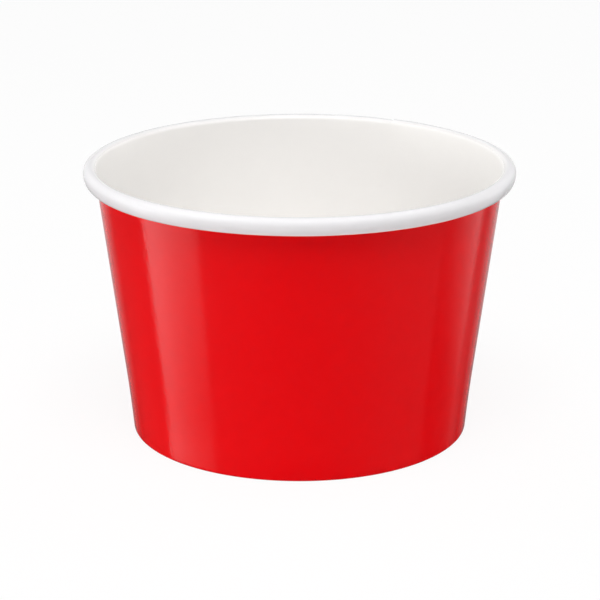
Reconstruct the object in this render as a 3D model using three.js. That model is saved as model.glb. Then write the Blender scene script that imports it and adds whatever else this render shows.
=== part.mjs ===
// A 240 ml paper ice cream cup, in millimetres with +Z up. The origin is the centre of the foot, on the
// plane that the cup stands on. The cup is two pieces of board: the sidewall, a fan-shaped blank lapped into
// a side seam, rolled outward at the rim and hemmed at the foot, and a bottom disc whose skirt the hem grips.

import * as THREE from 'three';

// Overall sizes
const rimDiameter = 95;
const footDiameter = 74.4; // of the wall's outer cone, carried down to the standing plane
const cupHeight = 60.6;

// Board
const wallBoard = 0.42;
const discBoard = 0.42;

// Rolled rim: an outer turn, and a second turn that runs up beside the wall and ends under the crown. The
// bends are inside radii.
const beadWidth = 2.95;
const beadHeight = 3.8;
const crownHeight = 1.5; // from the bead's widest level up to its top
const crownBend = 0.85; // from the wall into the crown
const lowerBend = 0.58; // from the outer turn into the second
const tuckBend = 0.48; // at the second turn's end
const rollGap = 0.15; // air between the wall and the second turn where the seam is thickest
const tuckGap = 0.35; // air between the crown and the second turn's end, likewise

// Side seam: one end of the blank laps the other, both pressed while hot
const seamDirection = 57.3; // degrees from +X toward +Y, at the middle of the lap
const seamLap = 5.8; // width of the lap, just below the rim
const seamStep = 0.2; // what is left of a pressed free edge
const seamInset = 0.08; // how far the lap stands in from the wall's inner face
const seamRamp = 6; // length over which the board comes back to the plain wall

// Bottom disc
const discRecess = 7; // from the standing plane up to the disc's underside
const discBend = 0.5; // inside radius where the disc turns down into its skirt

// Foot: the hem grips the disc's skirt, and pressing it spreads the foot a little
const footSpread = 0.27; // how far the foot stands out from the wall's cone
const spreadHeight = 8.5; // from the standing plane up to where the wall runs true
const hemBend = 0.15; // inside radius at each side of the flattened fold
const hemClearance = 1.4; // from the hem's free edge up to the disc's underside
const skirtClearance = 0.15; // from the skirt to the lap's board on each side of it, and to the fold below

// Fineness of the facets
const facets = 72; // round the cup, a multiple of four
const rampFacets = 3; // along each seam ramp
const rimFacets = 5; // along each quarter of the rim's outer turn
const foldFacets = 3; // along each quarter of the smaller bends

const seamThickening = seamStep - seamInset;
const seamBoard = wallBoard + seamStep;
const rollPitch = seamBoard + rollGap;
const skirtInset = seamInset + skirtClearance;
const crownRadius = wallBoard + crownBend;

// A profile is a list of stops along one face of the sheet, in the plane of radius and height. Each has its
// place, the direction through the sheet to its other face, and how much of the seam's relief shows there.
const flat = (radius, height) => new THREE.Vector2(radius, height);
const along = (from, direction, distance) => from.clone().addScaledVector(direction, distance);
const heading = (angle) => flat(Math.cos(angle), Math.sin(angle));

// Stops round an elliptical bend, from one outward direction to another. The sheet's other face is outside
// the bend where side is 1, and inside it where side is -1.
function bend(centre, radii, from, to, steps, side, reliefFrom = 1, reliefTo = 1) {
  return Array.from({ length: steps + 1 }, (_, step) => {
    const outward = heading(THREE.MathUtils.lerp(from, to, step / steps));
    const reach = Math.hypot(radii.x * outward.x, radii.y * outward.y);
    const place = flat(radii.x ** 2 * outward.x, radii.y ** 2 * outward.y).divideScalar(reach).add(centre);
    const relief = THREE.MathUtils.lerp(reliefFrom, reliefTo, step / steps);
    return { place, through: outward.multiplyScalar(side), relief };
  });
}

const round = (radius) => flat(radius, radius);
const isNewPlace = (stop, at, stops) => at === 0 || stop.place.distanceTo(stops[at - 1].place) > 1e-6;

// A straight stretch of the sidewall, through a point on its outer face: its lean, the direction out of the
// cup from it, and the distance along that direction from the origin to its inner face
function stretch(outerPoint, lean) {
  const outward = heading(-lean);
  return { lean, outward, reach: along(outerPoint, outward, -wallBoard).dot(outward) };
}

// The point at a height on a face parallel to a stretch, set in from its inner face by a distance
function onWall({ outward, reach }, height, inset) {
  return flat((reach - inset - height * outward.y) / outward.x, height);
}

// Centre of a bend at a height that is tangent to the line set in from a stretch's inner face
function besideWall(part, height, inset, radius) {
  return onWall(part, height, inset + radius);
}

// The wall leans outward. Its inner face is tangent to the crown's bend, and its outer face meets the
// standing plane at the foot diameter. Below the spread's height it leans less, down to the foot.
const crownCentre = flat(rimDiameter / 2 - beadWidth + crownRadius, cupHeight - crownRadius);
const footToCrown = crownCentre.clone().sub(flat(footDiameter / 2, 0));
const wallLean = Math.atan2(footToCrown.x, footToCrown.y)
  + Math.asin((wallBoard - crownRadius) / footToCrown.length());
const wall = stretch(flat(footDiameter / 2, 0), wallLean);
const spreadTop = onWall(wall, spreadHeight, -wallBoard);
const foot = stretch(spreadTop, Math.atan2(spreadTop.x - footDiameter / 2 - footSpread, spreadHeight));

const quarter = Math.PI / 2;

// Sidewall profile along the white inner face: down the hem, round its fold, up the wall and round the roll
function sidewallProfile() {
  const hemGap = discBoard + 2 * skirtInset;
  const foldHeight = wallBoard + hemBend;
  const hemFold = besideWall(foot, foldHeight, hemGap, -hemBend);
  const wallFold = besideWall(foot, foldHeight, 0, hemBend);

  const spreadLean = (foot.lean + wall.lean) / 2;
  const spreadThrough = heading(-spreadLean).divideScalar(Math.cos(wall.lean - spreadLean));

  const widest = cupHeight - crownHeight;
  const lowerRadius = wallBoard + lowerBend;
  const tuckRadius = wallBoard + tuckBend;
  const tuckHeight = cupHeight - seamBoard - tuckGap - tuckRadius;
  const lowerCentre = besideWall(wall, cupHeight - beadHeight + lowerRadius, -rollPitch, -lowerRadius);
  const tuckCentre = besideWall(wall, tuckHeight, -rollPitch, -tuckRadius);
  const upperRadii = flat(beadWidth - crownRadius, crownHeight);
  const outerRadii = flat(rimDiameter / 2 - lowerCentre.x, beadHeight - crownHeight);

  const hemEdge = onWall(foot, discRecess - hemClearance, hemGap);
  return [
    { place: hemEdge, through: foot.outward.clone().negate(), relief: 1 },
    ...bend(hemFold, round(hemBend), 2 * quarter - foot.lean, 3 * quarter, foldFacets, 1, 1, 0),
    ...bend(wallFold, round(hemBend), -quarter, -foot.lean, foldFacets, 1, 0, 1),
    { place: along(spreadTop, spreadThrough, -wallBoard), through: spreadThrough, relief: 1 },
    ...bend(crownCentre, round(crownRadius), 2 * quarter - wall.lean, quarter, rimFacets, -1),
    ...bend(flat(crownCentre.x, widest), upperRadii, quarter, 0, rimFacets, -1),
    ...bend(flat(lowerCentre.x, widest), outerRadii, 0, -quarter, rimFacets, -1),
    ...bend(lowerCentre, round(lowerRadius), -quarter, -2 * quarter - wall.lean, rimFacets, -1),
    ...bend(tuckCentre, round(tuckRadius), 2 * quarter - wall.lean, quarter, foldFacets, -1),
  ].filter(isNewPlace);
}

// Stations round the cup, in order of angle. Each has the distances that the sheet's inner and outer face
// stand off the plain wall there, outward counted as positive.
function sidewallStations() {
  const middle = THREE.MathUtils.degToRad(seamDirection);
  const radius = rimDiameter / 2 - beadWidth;
  const lap = seamLap / 2 / radius;
  const ramp = seamRamp / radius;
  const rampStations = (edge, end, offset) => Array.from({ length: rampFacets + 1 }, (_, step) => {
    const rise = THREE.MathUtils.smoothstep(step, 0, rampFacets) * offset;
    return { angle: THREE.MathUtils.lerp(end, edge, step / rampFacets), inner: rise, outer: rise };
  });
  const seam = [
    ...rampStations(middle - lap, middle - lap - ramp, -seamInset),
    ...[-1, 0, 1].map((side) => ({ angle: middle + side * lap, inner: -seamInset, outer: seamThickening })),
    ...rampStations(middle + lap, middle + lap + ramp, seamThickening).reverse(),
  ];
  const spacing = 2 * Math.PI / facets;
  const plain = Array.from({ length: facets }, (_, step) => ({ angle: step * spacing, inner: 0, outer: 0 }));
  const clearOfSeam = ({ angle }) => {
    const away = Math.abs(THREE.MathUtils.euclideanModulo(angle - middle + Math.PI, 2 * Math.PI) - Math.PI);
    return away > lap + ramp + spacing / 4;
  };
  const fromFirst = ({ angle }) => THREE.MathUtils.euclideanModulo(angle - seam[0].angle, 2 * Math.PI);
  return [...seam, ...plain.filter(clearOfSeam).sort((a, b) => fromFirst(a) - fromFirst(b))];
}

// A closed ring: the profile's two faces, joined at the sheet's cut edges, carried from station to station
function foldedSheet(profile, stations, thickness) {
  const positions = [];
  for (const { angle, inner, outer } of stations) {
    const near = profile.map(({ place, through, relief }) => along(place, through, relief * inner));
    const far = profile.map(({ place, through, relief }) => {
      return along(place, through, thickness + relief * outer);
    });
    for (const point of [...near, ...far.reverse()]) {
      positions.push(point.x * Math.cos(angle), point.x * Math.sin(angle), point.y);
    }
  }
  const size = 2 * profile.length;
  const corner = (station, stop) => (station % stations.length) * size + (stop % size);
  const vertex = (index) => new THREE.Vector3().fromArray(positions, 3 * index);
  const apart = (a, b) => vertex(a).distanceToSquared(vertex(b)) > 1e-12;
  const faces = [];
  const addFace = (a, b, c) => {
    if (apart(a, b) && apart(b, c) && apart(c, a)) faces.push(a, b, c);
  };
  for (let station = 0; station < stations.length; station += 1) {
    for (let stop = 0; stop < size; stop += 1) {
      const [a, b] = [corner(station, stop), corner(station + 1, stop)];
      const [c, d] = [corner(station + 1, stop + 1), corner(station, stop + 1)];
      addFace(a, c, b);
      addFace(a, d, c);
    }
  }
  const geometry = new THREE.BufferGeometry();
  geometry.setAttribute('position', new THREE.Float32BufferAttribute(positions, 3));
  geometry.setIndex(faces);
  return geometry;
}

// Bottom disc section, from the axis out along the top, down the skirt, and back along the underside
function discGeometry() {
  const outerBend = discBend + discBoard;
  const bendHeight = discRecess - discBend;
  const bendCentre = besideWall(foot, bendHeight, skirtInset, outerBend);
  const skirtFoot = wallBoard + skirtClearance;
  const outside = bend(bendCentre, round(outerBend), quarter, -foot.lean, foldFacets + 1, 1);
  const inside = bend(bendCentre, round(discBend), -foot.lean, quarter, foldFacets, 1);
  const section = [
    flat(0, discRecess + discBoard),
    ...outside.map(({ place }) => place),
    onWall(foot, skirtFoot, skirtInset),
    onWall(foot, skirtFoot, skirtInset + discBoard),
    ...inside.map(({ place }) => place),
    flat(0, discRecess),
  ];
  return new THREE.LatheGeometry(section.reverse(), facets).rotateX(quarter);
}

function piece(name, geometry, color, roughness) {
  const mesh = new THREE.Mesh(geometry, new THREE.MeshStandardMaterial({ color, roughness, metalness: 0 }));
  mesh.geometry.computeVertexNormals();
  mesh.name = name;
  return mesh;
}

const cup = new THREE.Group();
cup.name = 'paper_ice_cream_cup';
cup.add(piece('sidewall', foldedSheet(sidewallProfile(), sidewallStations(), wallBoard), 0xd4121a, 0.35));
cup.add(piece('bottom_disc', discGeometry(), 0xf1ede6, 0.7));

export default cup;
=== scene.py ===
from math import asin, atan2, cos, hypot, pi, radians, sin, tan, tau

import bmesh
import bpy
from mathutils import Matrix, Vector


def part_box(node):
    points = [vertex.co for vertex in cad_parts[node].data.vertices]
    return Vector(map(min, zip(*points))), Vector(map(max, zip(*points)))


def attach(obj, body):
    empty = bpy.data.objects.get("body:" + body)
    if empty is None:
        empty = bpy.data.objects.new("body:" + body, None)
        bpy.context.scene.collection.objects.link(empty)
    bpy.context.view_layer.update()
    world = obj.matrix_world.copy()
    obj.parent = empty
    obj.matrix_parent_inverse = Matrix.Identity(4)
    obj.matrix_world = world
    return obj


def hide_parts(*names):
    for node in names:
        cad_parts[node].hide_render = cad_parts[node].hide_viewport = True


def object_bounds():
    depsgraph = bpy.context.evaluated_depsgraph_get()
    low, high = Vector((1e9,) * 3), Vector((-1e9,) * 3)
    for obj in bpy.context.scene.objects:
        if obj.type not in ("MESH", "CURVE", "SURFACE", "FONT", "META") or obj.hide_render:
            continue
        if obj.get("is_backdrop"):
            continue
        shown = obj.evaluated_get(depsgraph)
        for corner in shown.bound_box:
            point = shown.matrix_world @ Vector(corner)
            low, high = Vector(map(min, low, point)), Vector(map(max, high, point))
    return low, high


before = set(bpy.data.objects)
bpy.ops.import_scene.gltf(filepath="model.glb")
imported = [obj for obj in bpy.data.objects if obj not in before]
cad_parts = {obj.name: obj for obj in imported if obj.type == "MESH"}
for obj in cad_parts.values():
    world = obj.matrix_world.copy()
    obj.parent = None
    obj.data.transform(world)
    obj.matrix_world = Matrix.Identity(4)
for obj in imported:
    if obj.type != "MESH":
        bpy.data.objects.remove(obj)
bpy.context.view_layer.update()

# ---- Sidewall board
# One fan of coated board, printed on its outer face. It is wrapped round a mandrel and its ends are sealed
# into a lapped side seam. A curling die rolls its top edge outward. Its bottom edge is turned in round the
# bottom disc's skirt as a hem, which a knurled wheel presses.
mm = 0.001
seam_inset = 0.08 * mm  # how far the lap stands in from the wall, and so up from the rolled bead
rim_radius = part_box("sidewall")[1].x
cup_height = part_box("sidewall")[1].z - seam_inset
foot_radius = 37.2 * mm  # of the wall's outer cone, carried down to the standing plane
foot_spread = 0.27 * mm  # how far the pressed foot stands out from that cone
spread_height = 8.5 * mm  # up to where the wall runs true
wall_board = 0.42 * mm
disc_board = 0.42 * mm
disc_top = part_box("bottom_disc")[1].z
skirt_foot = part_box("bottom_disc")[0].z
skirt_clearance = skirt_foot - wall_board  # below the skirt, and the same beside it
skirt_inset = seam_inset + skirt_clearance

bead_width = 2.95 * mm
bead_height = 3.8 * mm
crown_height = 1.5 * mm  # from the bead's widest level up to its top
crown_radius = wall_board + 0.85 * mm
lower_radius = wall_board + 0.58 * mm
tuck_radius = wall_board + 0.48 * mm
roll_gap = 0.15 * mm
tuck_gap = 0.35 * mm

seam_middle = radians(57.3)  # from +X toward +Y
seam_lap = 5.8 * mm
seam_step = 0.2 * mm  # what is left of a pressed free edge
seam_ramp = 6 * mm  # length over which the board comes back to the plain wall

hem_bend = 0.15 * mm
hem_clearance = 1.4 * mm  # from the hem's free edge up to the disc's underside


def heading(angle):
    return Vector((cos(angle), sin(angle)))


def bend(centre, radii, start, end, steps, side=-1, relief=(1, 1)):
    """Stops round an elliptical bend, between two directions that it faces. Each has its place, the way
    through the sheet to its other face, and how much of the seam's relief shows there."""
    stops = []
    for step in range(steps + 1):
        share = step / steps
        outward = heading(start + (end - start) * share)
        reach = hypot(radii[0] * outward.x, radii[1] * outward.y)
        place = centre + Vector((radii[0] ** 2 * outward.x, radii[1] ** 2 * outward.y)) / reach
        stops.append((place, outward * side, relief[0] + (relief[1] - relief[0]) * share))
    return stops


def stretch(outer_point, lean):
    """A straight stretch of the wall: its lean, the direction out of the cup from it, and how far that way
    its inner face lies"""
    outward = heading(-lean)
    return lean, outward, (outer_point - outward * wall_board).dot(outward)


def on_wall(part, height, inset):
    """The point at a height on a face parallel to a stretch, set in from its inner face"""
    lean, outward, reach = part
    return Vector(((reach - inset - height * outward.y) / outward.x, height))


# The wall's inner face is tangent to the crown's bend, and its outer face meets the standing plane at the
# foot radius. Below the spread's height it leans less.
quarter = pi / 2
crown_centre = Vector((rim_radius - bead_width + crown_radius, cup_height - crown_radius))
foot_to_crown = crown_centre - Vector((foot_radius, 0))
crown_lean = atan2(foot_to_crown.x, foot_to_crown.y)
wall_lean = crown_lean + asin((wall_board - crown_radius) / foot_to_crown.length)
wall = stretch(Vector((foot_radius, 0)), wall_lean)
spread_top = on_wall(wall, spread_height, -wall_board)
foot_lean = atan2(spread_top.x - foot_radius - foot_spread, spread_height)
foot = stretch(spread_top, foot_lean)

# The hem stands on the fold and ends below the disc
hem_gap = disc_board + 2 * skirt_inset
hem_top = disc_top - disc_board - hem_clearance
fold_height = wall_board + hem_bend
hem_stops = 9
hem_drop = (hem_top - fold_height) / hem_stops
hem = [(on_wall(foot, hem_top - step * hem_drop, hem_gap), -foot[1], 1) for step in range(hem_stops)]

# The roll runs over the crown, round the bead's widest level and under, and its free edge is tucked up inside
widest = cup_height - crown_height
roll_pitch = wall_board + seam_step + roll_gap
lower_centre = on_wall(wall, cup_height - bead_height + lower_radius, -roll_pitch - lower_radius)
tuck_height = cup_height - wall_board - seam_step - tuck_gap - tuck_radius
tuck_centre = on_wall(wall, tuck_height, -roll_pitch - tuck_radius)

# Narrow flats beside the bends keep the long faces between them true, and the spread is a gentle curve
flat_width = 0.3 * mm
spread_reach = 5 * mm
spread_steps = 8
below, turn, above = (
    on_wall(part, spread_height + reach, 0)
    for part, reach in ((foot, -spread_reach), (wall, 0), (wall, spread_reach))
)
spread = []
for step in range(spread_steps + 1):
    share = step / spread_steps
    place = below.lerp(turn, share).lerp(turn.lerp(above, share), share)
    spread.append((place, heading(-foot_lean + (foot_lean - wall_lean) * share), 1))

fold_steps = 5
bead_steps = 14
lower_steps = 10
tuck_steps = 6
fold_radii = (hem_bend, hem_bend)
profile = [
    *hem,
    *bend(
        on_wall(foot, fold_height, hem_gap - hem_bend), fold_radii,
        2 * quarter - foot_lean, 3 * quarter, fold_steps, 1, (1, 0),
    ),
    *bend(
        on_wall(foot, fold_height, hem_bend), fold_radii,
        -quarter, -foot_lean, fold_steps, 1, (0, 1),
    ),
    (on_wall(foot, fold_height + flat_width, 0), foot[1], 1),
    *spread,
    (on_wall(wall, crown_centre.y - flat_width, 0), wall[1], 1),
    *bend(
        crown_centre, (crown_radius, crown_radius),
        2 * quarter - wall_lean, quarter, bead_steps,
    ),
    *bend(
        Vector((crown_centre.x, widest)), (bead_width - crown_radius, crown_height),
        quarter, 0, bead_steps,
    )[1:],
    *bend(
        Vector((lower_centre.x, widest)), (rim_radius - lower_centre.x, bead_height - crown_height),
        0, -quarter, bead_steps,
    )[1:],
    *bend(
        lower_centre, (lower_radius, lower_radius),
        -quarter, -2 * quarter - wall_lean, lower_steps,
    )[1:],
    *bend(
        tuck_centre, (tuck_radius, tuck_radius),
        2 * quarter - wall_lean, quarter, tuck_steps,
    ),
]

# The section is drawn as a closed line. Each point is marked with its face of the sheet, 0 for the white one
# and 1 for the printed one, and with the way that the seam's relief moves it.
sidewall = bmesh.new()
face_of = sidewall.verts.layers.float.new("printed")
shift_of = sidewall.verts.layers.float_vector.new("relief")
line = []
for printed, stops in ((0, profile), (1, reversed(profile))):
    for place, through, relief in stops:
        at = place + through * wall_board * printed
        point = sidewall.verts.new((at.x, 0, at.y))
        point[face_of] = printed
        point[shift_of] = (through.x * relief, 0, through.y * relief)
        line.append(point)
for start, end in zip(line, line[1:] + line[:1]):
    sidewall.edges.new((start, end))

knurls = 120
steps_round = 4 * knurls
bmesh.ops.spin(
    sidewall, geom=[*sidewall.verts, *sidewall.edges], axis=(0, 0, 1), angle=tau, steps=steps_round,
    use_merge=True,
)

# A free edge at each side of the lap: a narrow strip is cut into the wall there, to hold the step
half_lap = seam_lap / 2 / (rim_radius - bead_width)
ramp_angle = seam_ramp / (rim_radius - bead_width)
edge_width = 0.03 * mm / rim_radius
cut_reach = 0.02  # angle on each side of a cut within which faces may be split
on_the_cut = 1e-9
same_place = 1e-8


def away_from_seam(point):
    return (atan2(point.y, point.x) - seam_middle + pi) % tau - pi


for edge in (-half_lap, half_lap):
    for cut in (edge - edge_width, edge + edge_width):
        near = [
            face for face in sidewall.faces
            if abs(away_from_seam(face.calc_center_median()) - cut) < cut_reach
        ]
        parts = dict.fromkeys(part for face in near for part in (face, *face.edges, *face.verts))
        bmesh.ops.bisect_plane(
            sidewall, geom=list(parts), dist=on_the_cut, plane_co=(0, 0, 0),
            plane_no=(-sin(seam_middle + cut), cos(seam_middle + cut), 0),
        )


def ease(share):
    share = min(max(share, 0), 1)
    return share * share * (3 - 2 * share)


def seam_relief(away, printed):
    """How far a face of the sheet stands off the plain wall, at an angle away from the seam's middle"""
    fade = ease(1 - (abs(away) - half_lap) / ramp_angle)
    if away > half_lap or (printed and away > -half_lap):
        return (seam_step - seam_inset) * fade
    return -seam_inset * fade


# The seam's relief moves both faces of the sheet, and the knurled wheel dents the hem's face inside the foot
knurl_depth = 0.2 * mm
knurl_fade = 0.5 * mm
for point in sidewall.verts:
    angle = atan2(point.co.y, point.co.x)
    radius = hypot(point.co.x, point.co.y)
    height = point.co.z
    printed = point[face_of] > 0.5
    offset = point[shift_of] * seam_relief(away_from_seam(point.co), printed)
    if printed and radius < on_wall(foot, height, hem_gap + wall_board / 2).x:
        band = ease((height - fold_height) / knurl_fade) * ease((hem_top - height) / knurl_fade)
        offset += Vector((1, 0, 0)) * knurl_depth * band * (1 - cos(knurls * angle)) / 2
    radius += offset.x
    point.co = (radius * cos(angle), radius * sin(angle), height + offset.z)

bmesh.ops.remove_doubles(sidewall, verts=sidewall.verts, dist=same_place)
bmesh.ops.recalc_face_normals(sidewall, faces=sidewall.faces)


class Wire:
    """A value on its way through a material. Arithmetic on it adds Math nodes, and node() any other node."""

    def __init__(self, tree, socket=None):
        self.tree = tree
        self.socket = socket

    def node(self, kind, settings=None, inputs=None, output=0):
        made = self.tree.nodes.new("ShaderNode" + kind)
        for name, value in (settings or {}).items():
            setattr(made, name, value)
        for name, value in (inputs or {}).items():
            if isinstance(value, Wire):
                self.tree.links.new(value.socket, made.inputs[name])
            else:
                made.inputs[name].default_value = value
        return Wire(self.tree, made.outputs[output] if made.outputs else None)

    def math(self, operation, *values):
        return self.node("Math", {"operation": operation}, dict(enumerate(values)))

    def __add__(self, other):
        return self.math("ADD", self, other)

    def __sub__(self, other):
        return self.math("SUBTRACT", self, other)

    def __rsub__(self, other):
        return self.math("SUBTRACT", other, self)

    def __mul__(self, other):
        if isinstance(other, tuple):
            return self.node("VectorMath", {"operation": "MULTIPLY"}, {0: self, 1: other})
        return self.math("MULTIPLY", self, other)

    __radd__ = __add__
    __rmul__ = __mul__


def blend(share, first, second):
    """A colour between two, by a share from 0 to 1. Inputs 6 and 7 of the Mix node are its colours."""
    return share.node("Mix", {"data_type": "RGBA"}, {"Factor": share, 6: first, 7: second}, 2)


def ramp(value, low, high, first=0, last=1):
    """Runs straight from the first to the last number while the value runs from low to high"""
    limits = {"From Min": low, "From Max": high, "To Min": first, "To Max": last}
    return value.node("MapRange", None, {"Value": value, **limits})


def grain(place, size, detail):
    """Noise from 0 to 1 with features of about that size, in metres"""
    return place.node("TexNoise", None, {"Vector": place, "Scale": 1 / size, "Detail": detail})


def bump(height):
    """How the light sees a surface that stands up by a height, in metres"""
    return height.node("Bump", None, {"Height": height, "Distance": 1.0})


def start_finish(name):
    material = bpy.data.materials.new(name)
    material.use_nodes = True
    material.node_tree.nodes.clear()
    return material, Wire(material.node_tree)


def end_finish(wire, **sockets):
    inputs = {name.replace("_", " "): value for name, value in sockets.items()}
    wire.node("OutputMaterial", None, {"Surface": wire.node("BsdfPrincipled", None, inputs)})


def printed_face():
    """Red ink under a gloss varnish, which dries with a fine ripple"""
    material, wire = start_finish("red varnished print")
    place = wire.node("TexCoord", output="Object")
    mottle = grain(place, 2.5 * mm, 4.0)
    peel = grain(place, 0.8 * mm, 2.0)
    swell = grain(place, 4 * mm, 1.0)
    end_finish(
        wire,
        Base_Color=blend(mottle, (0.80, 0.0015, 0.0040, 1), (0.83, 0.0025, 0.0055, 1)),
        Roughness=0.08 + peel * 0.04,
        Normal=bump(peel * (0.03 * mm) + swell * (0.01 * mm)),
    )
    return material


def white_face():
    """The coated inner face. Rolling stretches it taut over the bead, where it is shinier. Its colour there
    is painted darker and cooler, as painted shade
    """
    material, wire = start_finish("white coated board")
    place = wire.node("TexCoord", output="Object")
    cloud = grain(place, 5 * mm, 4.0)
    fibre = grain(place, 0.25 * mm, 3.0)
    radius = wire.node("VectorMath", {"operation": "LENGTH"}, {0: place * (1, 1, 0)}, "Value")
    # 0 on the wall and 1 over the bead: the bead is shinier there, and painted shade darkens its colour there
    taut_and_painted_shade = ramp(radius, rim_radius - bead_width, crown_centre.x)
    flat_colour = blend(cloud, (0.91, 0.893, 0.874, 1), (0.93, 0.913, 0.894, 1))
    # painted shade: the same board's colour, darker and cooler over the bead
    bead_painted_shade_colour = blend(cloud, (0.80, 0.79, 0.805, 1), (0.82, 0.81, 0.825, 1))
    end_finish(
        wire,
        Base_Color=blend(taut_and_painted_shade, flat_colour, bead_painted_shade_colour),
        Roughness=0.28 + fibre * 0.1 - taut_and_painted_shade * 0.23,
        Normal=bump(fibre * (0.002 * mm) + cloud * (0.02 * mm)),
    )
    return material


def cut_edge():
    """Bare fibres, where the blank was cut through"""
    material, wire = start_finish("raw cut board")
    place = wire.node("TexCoord", output="Object")
    fibre = grain(place, 0.12 * mm, 3.0)
    end_finish(
        wire,
        Base_Color=blend(fibre, (0.70, 0.66, 0.60, 1), (0.84, 0.81, 0.76, 1)),
        Roughness=0.9,
        Normal=bump(fibre * (0.03 * mm)),
    )
    return material


sharp_angle = radians(35)


def shade_smooth(shape):
    """Smooth faces, but for the edges where the sheet was cut"""
    for face in shape.faces:
        face.smooth = True
    for edge in shape.edges:
        edge.smooth = len(edge.link_faces) != 2 or edge.calc_face_angle() < sharp_angle


def finish_piece(name, shape, *materials):
    mesh = bpy.data.meshes.new(name)
    shape.to_mesh(mesh)
    shape.free()
    for material in materials:
        mesh.materials.append(material)
    made = bpy.data.objects.new(name, mesh)
    bpy.context.scene.collection.objects.link(made)
    return made


# A face is white or printed where all its points are, and a cut edge in between. The narrow strips at the lap
# are cut edges too, each on the face of the sheet that ends there.
finishes = [printed_face(), white_face(), cut_edge()]
PRINTED, WHITE, CUT = range(len(finishes))
nearly_none, nearly_all = 0.01, 0.99
for face in sidewall.faces:
    printed = sum(point[face_of] for point in face.verts) / len(face.verts)
    away = away_from_seam(face.calc_center_median())
    if printed < nearly_none and abs(away - half_lap) >= edge_width:
        face.material_index = WHITE
    elif printed > nearly_all and abs(away + half_lap) >= edge_width:
        face.material_index = PRINTED
    else:
        face.material_index = CUT
shade_smooth(sidewall)

piece = finish_piece("printed_sidewall", sidewall, *finishes)
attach(piece, "root")
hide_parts("sidewall")

# ---- Bottom disc
# A round of the same coated board, pressed into a shallow cap. Its turned-down skirt is held between the wall
# and the hem, so the disc stands clear of the table.
disc_bend = 0.5 * mm
disc_steps = 240
disc_bend_steps = 8
cap_border = 0.4 * mm
same_level = 1e-7
corner = on_wall(foot, disc_top, skirt_inset).x
shrink = on_wall(foot, skirt_foot, skirt_inset).x / corner
bend_offset = (disc_bend + disc_board) / tan((quarter - foot_lean) / 2)
disc = bmesh.new()
bmesh.ops.create_circle(
    disc, cap_ends=True, segments=disc_steps, radius=corner, matrix=Matrix.Translation((0, 0, disc_top)),
)
skirt = bmesh.ops.extrude_edge_only(disc, edges=disc.edges)["geom"]
skirt_points = [part for part in skirt if isinstance(part, bmesh.types.BMVert)]
bmesh.ops.scale(disc, verts=skirt_points, vec=(shrink, shrink, 1))
bmesh.ops.translate(disc, verts=skirt_points, vec=(0, 0, skirt_foot - disc_top))
cap_edges = [
    edge for edge in disc.edges
    if all(abs(end.co.z - disc_top) < same_level for end in edge.verts)
]
bmesh.ops.bevel(
    disc, geom=cap_edges, offset=bend_offset, offset_type="OFFSET", segments=disc_bend_steps, profile=0.5,
    affect="EDGES", material=-1,
)
cap = max(disc.faces, key=lambda face: face.calc_area())
bmesh.ops.inset_individual(disc, faces=[cap], thickness=cap_border)
bmesh.ops.recalc_face_normals(disc, faces=disc.faces)
bmesh.ops.solidify(disc, geom=disc.faces[:], thickness=disc_board)
shade_smooth(disc)

piece = finish_piece("pressed_disc", disc, white_face())
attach(piece, "root")
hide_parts("bottom_disc")

# ---- Floor and background
# A plain pale table and a white background. The table keeps the cup's soft shadow, and shiny faces look past
# it to the studio's cards.
floor_radius = 3000 * mm
floor_steps = 64
floor_drop = 0.01 * mm
floor_white = 0.9  # share of plain white in what the camera sees of it
room_glow = 0.29  # strength of the light that the room sheds on the cup


def seen_directly(wire):
    """1 for what the camera, a reflection or clear material looks at, and 0 for light falling on the cup"""
    camera, glossy, clear = (
        wire.node("LightPath", output=f"Is {kind} Ray") for kind in ("Camera", "Glossy", "Transmission")
    )
    return wire.math("MAXIMUM", camera, wire.math("MAXIMUM", glossy, clear))


material, wire = start_finish("pale table")
lit = wire.node("BsdfDiffuse", None, {"Color": (0.89, 0.89, 0.89, 1)})
white = wire.node("Emission", None, {"Strength": 1.0})
shade = wire.node("MixShader", None, {0: seen_directly(wire) * floor_white, 1: lit, 2: white})
wire.node("OutputMaterial", None, {"Surface": shade})

floor = bmesh.new()
bmesh.ops.create_circle(
    floor, cap_ends=True, segments=floor_steps, radius=floor_radius,
    matrix=Matrix.Translation((0, 0, -floor_drop)),
)
piece = finish_piece("floor", floor, material)
piece.visible_glossy = False
piece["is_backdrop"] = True

world = bpy.data.worlds.new("studio")
bpy.context.scene.world = world
world.use_nodes = True
world.node_tree.nodes.clear()
wire = Wire(world.node_tree)
room = wire.node("Background", None, {"Strength": room_glow, "Color": (1, 1, 1, 1)})
white = wire.node("Background", None, {"Strength": 1.0, "Color": (1, 1, 1, 1)})
shade = wire.node("MixShader", None, {0: seen_directly(wire), 1: room, 2: white})
wire.node("OutputWorld", None, {"Surface": shade})

# ---- Studio cards and lamps
# Cards stand round the cup and lie over and under it, and only its shiny faces see them. Soft lamps light it
# and don't show in its reflections. Sizes and places are in metres. Azimuths are in degrees, 0 on the
# camera's side and 90 at the left.
card_steps = 24


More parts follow.
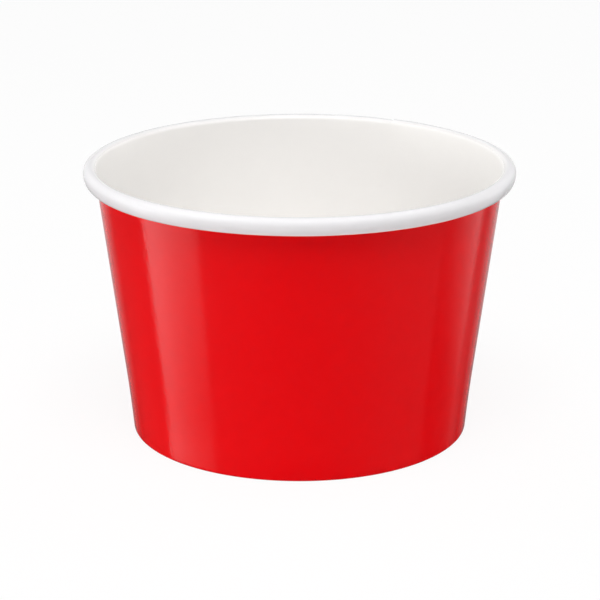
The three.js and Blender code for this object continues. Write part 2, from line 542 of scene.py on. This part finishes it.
def place_card(name, sheet, glow, fade=None):
    """A card's glow is two heights and the strength at each. It may also fade in from one depth to another"""
    material, wire = start_finish(name)
    place = wire.node("TexCoord", output="Object")
    height = wire.node("SeparateXYZ", None, {0: place}, "Z")
    strength = ramp(height, *glow)
    if fade:
        strength = strength * ramp(wire.node("SeparateXYZ", None, {0: place}, "Y"), *fade)
    wire.node("OutputMaterial", None, {"Surface": wire.node("Emission", None, {"Color": strength})})
    card = finish_piece(name, sheet, material)
    card.visible_camera = False
    card.visible_diffuse = False
    card.visible_shadow = False
    card.visible_transmission = False
    card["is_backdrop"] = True


def curved_card(name, distance, azimuths, heights, glow, fade=None):
    start, end = azimuths
    sheet = bmesh.new()
    ends = [sheet.verts.new((0, -distance, height)) for height in heights]
    edge = sheet.edges.new(ends)
    bmesh.ops.rotate(sheet, verts=ends, matrix=Matrix.Rotation(radians(-start), 3, "Z"))
    bmesh.ops.spin(sheet, geom=[*ends, edge], axis=(0, 0, 1), angle=radians(start - end), steps=card_steps)
    place_card(name, sheet, glow, fade)


def flat_card(name, height, across, along, strength, fade=None):
    left, right = across
    front, rear = along
    sheet = bmesh.new()
    corners = [(left, front), (right, front), (right, rear), (left, rear)]
    sheet.faces.new([sheet.verts.new((x, y, height)) for x, y in corners])
    place_card(name, sheet, (height - 1, height, strength, strength), fade)


curved_card("left_softbox", 1.0, (61, 101), (-0.8, 0.42), (-0.66, -0.42, 0.2, 1.5), (-1.0, 0.0))
curved_card("right_softbox", 1.0, (-93, -129), (-0.8, 0.37), (-0.48, -0.3, 0.05, 0.8), (-0.05, 0.56))
curved_card("front_flag", 1.1, (-138, 101), (-1.0, 1.2), (-0.68, -0.52, 0.07, 0.12), (-1.15, -0.55))
curved_card("left_gap", 1.1, (101, 138), (-1.0, 1.2), (-1.0, 1.0, 0.07, 0.07))
curved_card("back_light", 1.1, (138, 222), (-1.0, 0.7), (-0.52, -0.2, 0.05, 0.65), (0.75, 1.0))
flat_card("dark_table", -0.9, (-1.1, 1.1), (-1.1, 1.1), 0.04)
flat_card("overhead_softbox", 0.18, (-0.15, 0.13), (-0.12, 0.083), 1.9, (0.3, -0.1))
flat_card("camera_gap", 0.17, (-0.05, 0.05), (-0.14, -0.075), 0.5)
flat_card("dark_ceiling", 1.5, (-2.5, 2.5), (-2.5, 2.5), 0.1)


def lamp(name, size, place, power):
    """A soft lamp that faces the middle of the cup's foot"""
    light = bpy.data.lights.new(name, "AREA")
    light.shape = "RECTANGLE"
    light.size, light.size_y = size
    light.energy = power
    made = bpy.data.objects.new(name, light)
    bpy.context.scene.collection.objects.link(made)
    made.location = place
    made.rotation_euler = (-Vector(place)).to_track_quat("-Z", "Y").to_euler()
    made.visible_glossy = False


lamp("overhead_lamp", (0.6, 0.6), (0, -0.45, 1.0), 9.5)
lamp("left_lamp", (0.6, 0.3), (-1.0, -0.2, 0.1), 2.8)
lamp("left_rear_lamp", (0.6, 0.4), (-0.85, 0.55, 0.12), 4.1)
lamp("right_rear_lamp", (0.6, 0.4), (0.85, 0.55, 0.12), 4.9)

# ---- Camera
# It looks down on the cup from the front, from about half a metre away.
lowest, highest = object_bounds()
aim_shift = Vector((0.1 * mm, 0, -1.7 * mm))
aim = (lowest + highest) / 2 + aim_shift
elevation = radians(17.64)
distance = 0.5235
camera = bpy.data.objects.new("camera", bpy.data.cameras.new("camera"))
bpy.context.scene.collection.objects.link(camera)
camera.data.lens = 140.24
camera.location = aim + Vector((0, -cos(elevation), sin(elevation))) * distance
camera.rotation_euler = (quarter - elevation, 0, 0)
bpy.context.scene.camera = camera

bpy.context.scene.view_settings.view_transform = "Standard"
